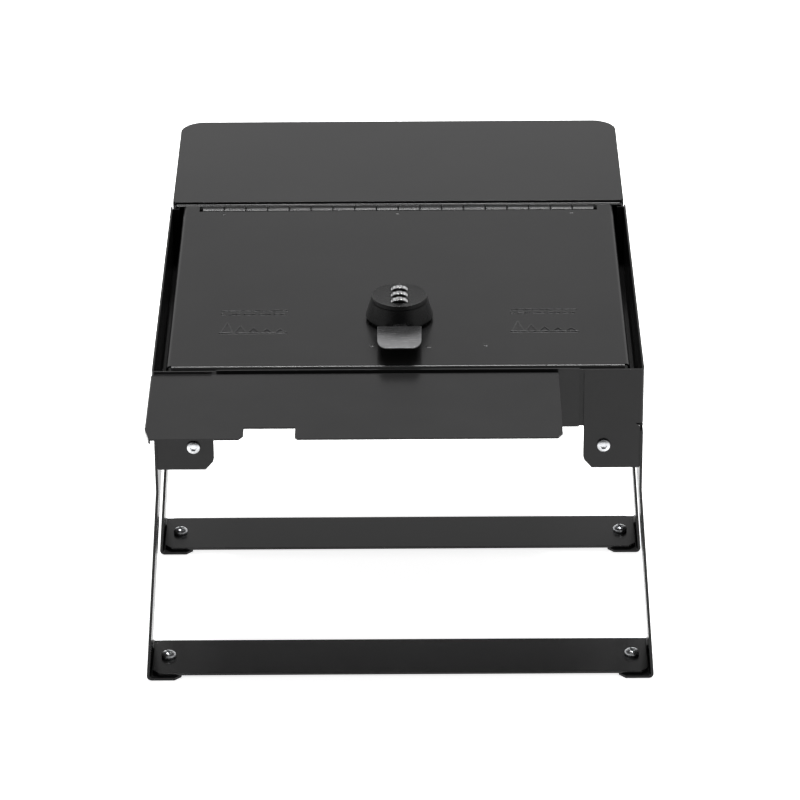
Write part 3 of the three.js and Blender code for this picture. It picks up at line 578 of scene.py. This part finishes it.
def make_digits(index, middle, radius):
    """The numbers 0 to 9 round a dial wheel, standing a hair proud of the flats."""
    builder = bmesh.new()
    for number in range(NUMBERS):
        curve = bpy.data.curves.new("digit", "FONT")
        curve.body = str(number)
        curve.size = 5.4 * MM
        curve.extrude = 0.12 * MM
        curve.align_x = "CENTER"
        curve.align_y = "CENTER"
        text = bpy.data.objects.new("digit", curve)
        bpy.context.scene.collection.objects.link(text)
        graph = bpy.context.evaluated_depsgraph_get()
        graph.update()
        flat = bpy.data.meshes.new_from_object(text.evaluated_get(graph))
        angle = number * 2 * math.pi / NUMBERS
        place = Matrix.Rotation(angle, 4, "Y") @ Matrix.Translation((0, 0, radius * FLAT_SHARE))
        flat.transform(Matrix.Translation(middle) @ place)
        builder.from_mesh(flat)
        bpy.data.objects.remove(text)
        bpy.data.curves.remove(curve)
    mesh = bpy.data.meshes.new(f"dial_digits_{index}")
    builder.to_mesh(mesh)
    builder.free()
    digits = bpy.data.objects.new(f"dial_digits_{index}", mesh)
    bpy.context.scene.collection.objects.link(digits)
    paint(digits, DIGIT_PAINT)
    attach(digits, f"dial_{index}", "knob_plastic")


def wheel_part(name, outline, half, middle, material, edge):
    """One ring of a dial wheel: an outline in the wheel's plane, bored for the axle."""
    ring = make_object(name, lambda b: prism(b, outline, -half, half), material)
    circle = regular(32, AXLE_BORE)
    bore = make_object("cutter", lambda b: prism(b, circle, -2 * half, 2 * half), material)
    apply_cut(ring, [bore])
    ring.data.transform(Matrix.Translation(middle) @ Matrix.Rotation(math.pi / 2, 4, "X"))
    soften(ring, edge, 3, 25)
    return ring


def make_wheels():
    """Dial wheels: a bright faceted number band between two black flanks."""
    plastic = MATERIALS["knob_plastic"]
    for i in (1, 2, 3):
        node = f"dial_wheel_{i}"
        low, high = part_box(node)
        middle = (low + high) / 2
        radius = (high.x - low.x) / 2
        half = (high.y - low.y) / 2
        flank = regular(60, radius - 0.7 * MM)
        core = wheel_part(f"wheel_flanks_{i}", flank, half, middle, plastic, 0.9 * MM)
        band = wheel_part(f"number_band_{i}", wheel_outline(radius), half - 1.2 * MM, middle,
                          MATERIALS["chrome"], 0.25 * MM)
        attach(core, f"dial_{i}", "knob_plastic", node)
        attach(band, f"dial_{i}", "chrome", node)
        make_digits(i, middle, radius)


# ---------------------------------------------------------------- pressed marks on the lid

def bead(builder, start, end, width, height):
    """A pressed bead on the lid: a low rounded ridge between two points, with faired edges."""
    along = (end - start).normalized()
    across = Vector((-along.y, along.x, 0))
    ribs = []
    caps = 6
    length = (end - start).length
    turns = [math.pi / 2 * i / caps for i in range(caps + 1)]
    stations = [(-width / 2 * math.cos(turn), math.sin(turn)) for turn in turns]
    stations += [(length + width / 2 * math.sin(turn), math.cos(turn)) for turn in turns]
    section = [(-1.0, -0.15), (-0.8, 0.06), (-0.55, 0.55), (-0.25, 0.92), (0.0, 1.0),
               (0.25, 0.92), (0.55, 0.55), (0.8, 0.06), (1.0, -0.15)]
    for distance, swell in stations:
        swell = max(swell, 0.02)
        middle = start + along * distance
        rib = []
        for u, v in section:
            rise = v if v < 0.1 else v * math.sqrt(swell)
            spot = middle + across * (u * width / 2 * swell) + Vector((0, 0, height * rise))
            rib.append(builder.verts.new(spot))
        ribs.append(rib)
    for rib, following in zip(ribs, ribs[1:]):
        for i in range(len(section) - 1):
            builder.faces.new((rib[i], rib[i + 1], following[i + 1], following[i]))
        builder.faces.new((rib[-1], rib[0], following[0], following[-1]))
    builder.faces.new(ribs[0])
    builder.faces.new(ribs[-1][::-1])


# The marks' places in millimetres: x from a patch's left end, y from the case's front.
PATCH_LEFT = {"left": -196, "right": 124}
FRAME_COUNT = 9
FRAME_PITCH = 8.3
FRAME_WIDTH = 5
FRAME_REAR = 150
FRAME_FRONT = 141
RIB_Y = 94
RIB_ENDS = (1, 73)
ZIGZAG_Y = 95
ZIGZAG_PITCH = 14.6
ZIGZAG_HALF = 6
ZIGZAG_RISES = (24, 16, 11, 8, 8)


def press_patch(builder, left):
    """One patch: a row of small open frames, and in front of it a zigzag on a rib."""
    def press(start, end, width, height):
        ends = [Vector(((left + x) * MM, CASE_FRONT + y * MM, LID_TOP)) for x, y in (start, end)]
        bead(builder, *ends, width * MM, height * MM)

    for i in range(FRAME_COUNT):
        x = 1.5 + i * FRAME_PITCH
        foot = FRAME_WIDTH if i % 2 else FRAME_WIDTH / 2
        press((x, FRAME_REAR), (x + FRAME_WIDTH, FRAME_REAR), 2.8, 0.9)
        press((x, FRAME_FRONT), (x + foot, FRAME_FRONT), 2.8, 0.9)
        press((x, FRAME_FRONT), (x, FRAME_REAR), 1.8, 0.6)
    press((RIB_ENDS[0], RIB_Y), (RIB_ENDS[1], RIB_Y), 3.4, 1)
    for i, rise in enumerate(ZIGZAG_RISES):
        x = 2 + i * ZIGZAG_PITCH
        peak = (x + ZIGZAG_HALF, ZIGZAG_Y + rise)
        press((x, ZIGZAG_Y), peak, 3, 0.85)
        press(peak, (x + 2 * ZIGZAG_HALF, ZIGZAG_Y), 3, 0.85)


def make_beads():
    """Two patches of plain marks pressed into the lid, coated all over in the paler edge coat as a
    painted highlight.
    """
    for side, left in PATCH_LEFT.items():
        # The paler coat over the whole marks is a painted highlight that lightens their strokes.
        beads = make_object(f"lid_beads_{side}", lambda b: press_patch(b, left), WEAR_AND_HIGHLIGHT["powder_coat"])
        attach(beads, "lid", "powder_coat")


HINGE_WELDS_X = (-203, -1, 202)
CATCH_WELDS = ((-28.5, 62), (33.5, 58), (95.5, 62))


def weld_mark(builder, x, y, radius):
    """A shallow ring with a dished middle."""
    profile = [(radius, -0.05 * MM), (radius * 0.85, 0.22 * MM), (radius * 0.65, 0.3 * MM),
               (radius * 0.4, 0.12 * MM), (0, 0.06 * MM)]
    lathe(builder, profile, 28, Vector((x, y, LID_TOP)))


def make_weld_marks():
    """Spot-weld marks on the lid, over the hinge leaf and in front of the lock."""
    def build(builder):
        hinge_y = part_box("hinge_leaf_lid")[0].y + 16 * MM
        for x in HINGE_WELDS_X:
            weld_mark(builder, x * MM, hinge_y, 3.2 * MM)
        for x, y in CATCH_WELDS:
            weld_mark(builder, x * MM, CASE_FRONT + y * MM, 3.4 * MM)

    marks = make_object("weld_marks", build, MATERIALS["powder_coat"])
    attach(marks, "lid", "powder_coat")


# ---------------------------------------------------------------- hinge

KNUCKLE_PITCH = 25.4 * MM
JOINT_COUNT = 17
# The discs in the knuckle gaps and the bars on the rail behind them are near-black painted shade.
GAP_SHADE_RADIUS = 3 * MM
GAP_SHADE_HALF = 0.78 * MM             # fits the gap between two knuckles
JOINT_SHADE_WIDTH = 2 * MM
END_SHADE_WIDTH = 3.6 * MM
SHADE_FRONT = 3.4 * MM               # behind the hinge's axis, as is the next
SHADE_REAR = 12.5 * MM
SHADE_LOW = 2 * MM                   # below the lid's top, as is the next
SHADE_HIGH = 1.1 * MM


def make_hinge_joints():
    """Painted shade between the knuckles: a near-black disc in each gap of the barrel, and a
    near-black bar on the rail behind each gap and beyond each end of the barrel.
    """
    low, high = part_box("hinge_pin")
    axis = (low + high) / 2
    joints = [(i - JOINT_COUNT // 2) * KNUCKLE_PITCH for i in range(JOINT_COUNT)]

    def washers(builder):
        for x in joints:
            near, far = x - GAP_SHADE_HALF, x + GAP_SHADE_HALF
            lathe(builder, [(0, near), (GAP_SHADE_RADIUS, near), (GAP_SHADE_RADIUS, far), (0, far)], 32)

    def slots(builder):
        marks = [(x, JOINT_SHADE_WIDTH) for x in joints]
        marks += [(low.x - 2 * MM, END_SHADE_WIDTH), (high.x + 2 * MM, END_SHADE_WIDTH)]
        front, rear = axis.y + SHADE_FRONT, axis.y + SHADE_REAR
        for x, width in marks:
            left, right = x - width / 2, x + width / 2
            outline = [(left, front), (right, front), (right, rear), (left, rear)]
            prism(builder, outline, LID_TOP - SHADE_LOW, LID_TOP - SHADE_HIGH)

    rings = make_object("knuckle_gap_shade", washers, MATERIALS["hinge_pin"])
    lay_down = Matrix.Rotation(math.pi / 2, 4, "Y")
    rings.data.transform(Matrix.Translation((0, axis.y, axis.z)) @ lay_down)
    attach(rings, "case", "hinge_steel")
    attach(make_object("rail_painted_shade", slots, MATERIALS["hinge_pin"]), "case", "hinge_steel")


# ---------------------------------------------------------------- CAD pieces that stay

EDGE = {"powder_coat": 0.45 * MM, "hinge_steel": 0.2 * MM, "knob_plastic": 0.4 * MM,
        "satin_metal": 0.35 * MM, "chrome": 0.2 * MM, "zinc": 0.25 * MM}
WIDE_EDGE = {"rear_cover": 0.9 * MM, "front_shelf": 0.9 * MM}
REPLACED = ("leg_bolt", "leg_nut", "foot_screw", "shelf_screw", "shelf_nut", "lock_nut",
            "lock_knob", "dial_wheel")


def finish_cad():
    for name in frame["nodes"]:
        if not name.startswith(REPLACED):
            refine_cad(name, WIDE_EDGE.get(name, EDGE[SLOT_OF[name]]))


# ---------------------------------------------------------------- stage

FLOOR_SIZE = 30
FLOOR_THICKNESS = 0.02
LENS = 188.6
CAMERA_SPOT = (0.0161, CASE_FRONT - 4.0385, LID_TOP + 2.0222)
CAMERA_DOWN = 27                    # degrees below level
CAMERA_TURN = 0.2                   # degrees, as is the roll
CAMERA_ROLL = -0.41
SOFTBOX_SPOT = (0.15, 1.45, 3.2)
SOFTBOX_TARGET = (0, 0, 0.3)


def make_floor():
    outline = rectangle(FLOOR_SIZE, FLOOR_SIZE)
    floor = make_object("floor", lambda b: prism(b, outline, -FLOOR_THICKNESS, 0), floor_paper())
    floor.location.z = FLOOR_Z


def make_camera():
    """Above the front, looking down through a long lens."""
    camera = bpy.data.cameras.new("camera")
    camera.sensor_width = 36
    camera.lens = LENS
    camera.clip_end = 60
    holder = bpy.data.objects.new("camera", camera)
    bpy.context.scene.collection.objects.link(holder)
    turn = Matrix.Rotation(math.radians(CAMERA_TURN), 4, "Z")
    tilt = Matrix.Rotation(math.radians(90 - CAMERA_DOWN), 4, "X")
    roll = Matrix.Rotation(math.radians(CAMERA_ROLL), 4, "Z")
    holder.matrix_world = Matrix.Translation(CAMERA_SPOT) @ turn @ tilt @ roll
    bpy.context.scene.camera = holder


def make_softbox():
    """A bright wide softbox high behind, which picks out bends, rims and knuckles."""
    light = bpy.data.lights.new("rear_softbox", "AREA")
    light.shape = "RECTANGLE"
    light.size = 2.2
    light.size_y = 0.5
    light.energy = 155
    holder = bpy.data.objects.new("rear_softbox", light)
    bpy.context.scene.collection.objects.link(holder)
    direction = Vector(SOFTBOX_TARGET) - Vector(SOFTBOX_SPOT)
    holder.location = SOFTBOX_SPOT
    holder.rotation_euler = direction.to_track_quat("-Z", "Y").to_euler()


def make_world():
    """White surroundings that darken towards the ceiling, and low down in front."""
    world = bpy.data.worlds.new("studio")
    bpy.context.scene.world = world
    world.use_nodes = True
    tree = world.node_tree
    direction = tree.nodes.new("ShaderNodeTexCoord").outputs["Generated"]
    parts = tree.nodes.new("ShaderNodeSeparateXYZ")
    tree.links.new(direction, parts.inputs["Vector"])
    height = remap(tree, parts.outputs["Z"], 0.4, 0.46, 0.8, 0.4)
    front = remap(tree, parts.outputs["Y"], -0.95, -0.6, 0.15, 1.0)
    strength = multiply(tree, height, front)
    tree.links.new(strength, tree.nodes["Background"].inputs["Strength"])
    tree.nodes["Background"].inputs["Color"].default_value = (1.0, 1.0, 1.0, 1.0)


def make_lights():
    make_world()
    make_softbox()
    bpy.context.scene.view_settings.view_transform = "Standard"


finish_cad()
make_fasteners()
make_knob()
make_wheels()
make_beads()
make_weld_marks()
make_hinge_joints()
make_floor()
make_camera()
make_lights()
